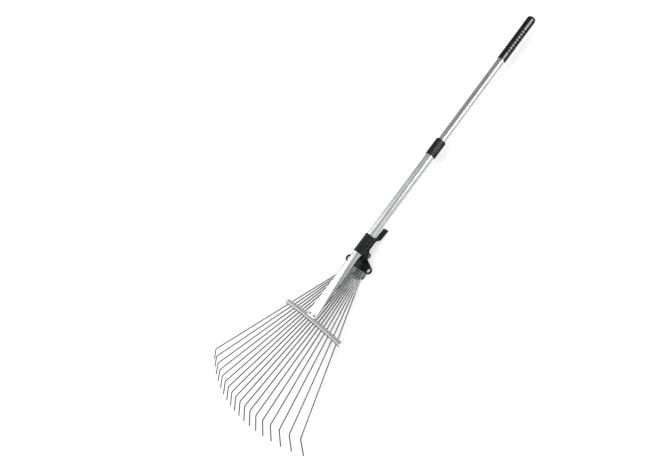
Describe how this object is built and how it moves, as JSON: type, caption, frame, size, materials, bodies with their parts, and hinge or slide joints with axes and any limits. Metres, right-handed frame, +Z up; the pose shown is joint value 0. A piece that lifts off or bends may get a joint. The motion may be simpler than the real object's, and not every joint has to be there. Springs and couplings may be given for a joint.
{
  "type": "leaf rake",
  "caption": "Telescopic leaf rake with a fan of spring wire tines that spreads or folds as a winged slider runs along the handle.",
  "frame": {"origin": "middle of the footprint, at the lowest surface", "axes": "+X along the handle from the tines to the grip, +Y to the left of the handle, +Z up"},
  "size_m": [1.1472, 0.4188, 0.0613],
  "materials": {
    "tube_steel": "polished, bright zinc-plated tube",
    "zinc_steel": "dull zinc-plated sheet",
    "comb_steel": "dark grey-green zinc",
    "rivet_steel": "dark plated rivet",
    "wire_steel": "drawn spring wire, zinc-plated",
    "bright_steel": "bright plated",
    "black_plastic": "moulded, satin",
    "grip_plastic": "moulded, glossy",
    "nylon": "natural nylon",
    "shoe_rubber": "moulded"
  },
  "bodies": {
    "handle_frame": {"main_tube": "tube_steel", "crossbar": "zinc_steel", "crossbar_rivets": "rivet_steel", "lock_base": "black_plastic", "lock_collet": "nylon"},
    "slider": {"slider_body": "black_plastic", "slider_liner": "nylon", "root_block": "comb_steel", "keeper_plate": "comb_steel", "keeper_screws": "bright_steel", "lever_pin": "bright_steel"},
    "lever": {"cam_lever": "black_plastic"},
    "shoe": {"brake_shoe": "shoe_rubber"},
    "collar": {"lock_collar": "black_plastic"},
    "upper_handle": {"inner_tube": "tube_steel", "guide_plug": "nylon", "hand_grip": "grip_plastic"},
    "tine_01": {"tine_01": "wire_steel"},
    "tine_02": {"tine_02": "wire_steel"},
    "tine_03": {"tine_03": "wire_steel"},
    "tine_04": {"tine_04": "wire_steel"},
    "tine_05": {"tine_05": "wire_steel"},
    "tine_06": {"tine_06": "wire_steel"},
    "tine_07": {"tine_07": "wire_steel"},
    "tine_08": {"tine_08": "wire_steel"},
    "tine_09": {"tine_09": "wire_steel"},
    "tine_10": {"tine_10": "wire_steel"},
    "tine_11": {"tine_11": "wire_steel"},
    "tine_12": {"tine_12": "wire_steel"},
    "tine_13": {"tine_13": "wire_steel"},
    "tine_14": {"tine_14": "wire_steel"},
    "tine_15": {"tine_15": "wire_steel"},
    "tine_16": {"tine_16": "wire_steel"},
    "tine_17": {"tine_17": "wire_steel"},
    "tine_18": {"tine_18": "wire_steel"}
  },
  "joints": [
    {"name": "slider_slide", "type": "slide", "parent": "handle_frame", "child": "slider", "axis": [1, 0, 0], "range_m": [0, 0.225], "deforming": ["tine_01", "tine_02", "tine_03", "tine_04", "tine_05", "tine_06", "tine_07", "tine_08", "tine_09", "tine_10", "tine_11", "tine_12", "tine_13", "tine_14", "tine_15", "tine_16", "tine_17", "tine_18"]},
    {"name": "lever_hinge", "type": "hinge", "parent": "slider", "child": "lever", "pos_m": [-0.10788, 0, 0.00675], "axis": [0, 1, 0], "range_deg": [0, 100]},
    {"name": "shoe_slide", "type": "slide", "parent": "slider", "child": "shoe", "axis": [0, 0, -1], "range_m": [0, 0.0008]},
    {"name": "collar_turn", "type": "hinge", "parent": "handle_frame", "child": "collar", "pos_m": [0.20862, 0, 0.03025], "axis": [1, 0, 0], "range_deg": [0, 120]},
    {"name": "handle_slide", "type": "slide", "parent": "handle_frame", "child": "upper_handle", "axis": [-1, 0, 0], "range_m": [0, 0.235]},
    {"name": "tine_01_fold", "type": "hinge", "parent": "slider", "child": "tine_01", "pos_m": [-0.15938, 0.0284, 0.00325], "axis": [0, -0.1836, 0.983], "range_deg": [0, 15.14]},
    {"name": "tine_02_fold", "type": "hinge", "parent": "slider", "child": "tine_02", "pos_m": [-0.15938, 0.02506, 0.00325], "axis": [0, -0.2542, 0.9672], "range_deg": [0, 13.33]},
    {"name": "tine_03_fold", "type": "hinge", "parent": "slider", "child": "tine_03", "pos_m": [-0.15938, 0.02172, 0.00325], "axis": [0, -0.3351, 0.9422], "range_deg": [0, 11.6]},
    {"name": "tine_04_fold", "type": "hinge", "parent": "slider", "child": "tine_04", "pos_m": [-0.15938, 0.01838, 0.00325], "axis": [0, -0.4285, 0.9035], "range_deg": [0, 9.99]},
    {"name": "tine_05_fold", "type": "hinge", "parent": "slider", "child": "tine_05", "pos_m": [-0.15938, 0.01503, 0.00325], "axis": [0, -0.5366, 0.8439], "range_deg": [0, 8.55]},
    {"name": "tine_06_fold", "type": "hinge", "parent": "slider", "child": "tine_06", "pos_m": [-0.15938, 0.01169, 0.00325], "axis": [0, -0.6592, 0.752], "range_deg": [0, 7.31]},
    {"name": "tine_07_fold", "type": "hinge", "parent": "slider", "child": "tine_07", "pos_m": [-0.15938, 0.00835, 0.00325], "axis": [0, -0.7904, 0.6126], "range_deg": [0, 6.3]},
    {"name": "tine_08_fold", "type": "hinge", "parent": "slider", "child": "tine_08", "pos_m": [-0.15938, 0.00501, 0.00325], "axis": [0, -0.9119, 0.4104], "range_deg": [0, 5.57]},
    {"name": "tine_09_fold", "type": "hinge", "parent": "slider", "child": "tine_09", "pos_m": [-0.15938, 0.00167, 0.00325], "axis": [0, -0.9893, 0.1461], "range_deg": [0, 5.19]},
    {"name": "tine_10_fold", "type": "hinge", "parent": "slider", "child": "tine_10", "pos_m": [-0.15938, -0.00167, 0.00325], "axis": [0, -0.9893, -0.1461], "range_deg": [0, 5.19]},
    {"name": "tine_11_fold", "type": "hinge", "parent": "slider", "child": "tine_11", "pos_m": [-0.15938, -0.00501, 0.00325], "axis": [0, -0.9119, -0.4104], "range_deg": [0, 5.57]},
    {"name": "tine_12_fold", "type": "hinge", "parent": "slider", "child": "tine_12", "pos_m": [-0.15938, -0.00835, 0.00325], "axis": [0, -0.7904, -0.6126], "range_deg": [0, 6.3]},
    {"name": "tine_13_fold", "type": "hinge", "parent": "slider", "child": "tine_13", "pos_m": [-0.15938, -0.01169, 0.00325], "axis": [0, -0.6592, -0.752], "range_deg": [0, 7.31]},
    {"name": "tine_14_fold", "type": "hinge", "parent": "slider", "child": "tine_14", "pos_m": [-0.15938, -0.01503, 0.00325], "axis": [0, -0.5366, -0.8439], "range_deg": [0, 8.55]},
    {"name": "tine_15_fold", "type": "hinge", "parent": "slider", "child": "tine_15", "pos_m": [-0.15938, -0.01838, 0.00325], "axis": [0, -0.4285, -0.9035], "range_deg": [0, 9.99]},
    {"name": "tine_16_fold", "type": "hinge", "parent": "slider", "child": "tine_16", "pos_m": [-0.15938, -0.02172, 0.00325], "axis": [0, -0.3351, -0.9422], "range_deg": [0, 11.6]},
    {"name": "tine_17_fold", "type": "hinge", "parent": "slider", "child": "tine_17", "pos_m": [-0.15938, -0.02506, 0.00325], "axis": [0, -0.2542, -0.9672], "range_deg": [0, 13.33]},
    {"name": "tine_18_fold", "type": "hinge", "parent": "slider", "child": "tine_18", "pos_m": [-0.15938, -0.0284, 0.00325], "axis": [0, -0.1836, -0.983], "range_deg": [0, 15.14]}
  ],
  "couplings": [
    {"joint": "shoe_slide", "follows": "lever_hinge", "m_per_rad": 0.00045832},
    {"joint": "tine_01_fold", "follows": "slider_slide", "rad_per_m": 1.1742},
    {"joint": "tine_02_fold", "follows": "slider_slide", "rad_per_m": 1.0339},
    {"joint": "tine_03_fold", "follows": "slider_slide", "rad_per_m": 0.89961},
    {"joint": "tine_04_fold", "follows": "slider_slide", "rad_per_m": 0.77503},
    {"joint": "tine_05_fold", "follows": "slider_slide", "rad_per_m": 0.66319},
    {"joint": "tine_06_fold", "follows": "slider_slide", "rad_per_m": 0.56666},
    {"joint": "tine_07_fold", "follows": "slider_slide", "rad_per_m": 0.48834},
    {"joint": "tine_08_fold", "follows": "slider_slide", "rad_per_m": 0.43197},
    {"joint": "tine_09_fold", "follows": "slider_slide", "rad_per_m": 0.40207},
    {"joint": "tine_10_fold", "follows": "slider_slide", "rad_per_m": 0.40207},
    {"joint": "tine_11_fold", "follows": "slider_slide", "rad_per_m": 0.43197},
    {"joint": "tine_12_fold", "follows": "slider_slide", "rad_per_m": 0.48834},
    {"joint": "tine_13_fold", "follows": "slider_slide", "rad_per_m": 0.56666},
    {"joint": "tine_14_fold", "follows": "slider_slide", "rad_per_m": 0.66319},
    {"joint": "tine_15_fold", "follows": "slider_slide", "rad_per_m": 0.77503},
    {"joint": "tine_16_fold", "follows": "slider_slide", "rad_per_m": 0.89961},
    {"joint": "tine_17_fold", "follows": "slider_slide", "rad_per_m": 1.0339},
    {"joint": "tine_18_fold", "follows": "slider_slide", "rad_per_m": 1.1742}
  ]
}
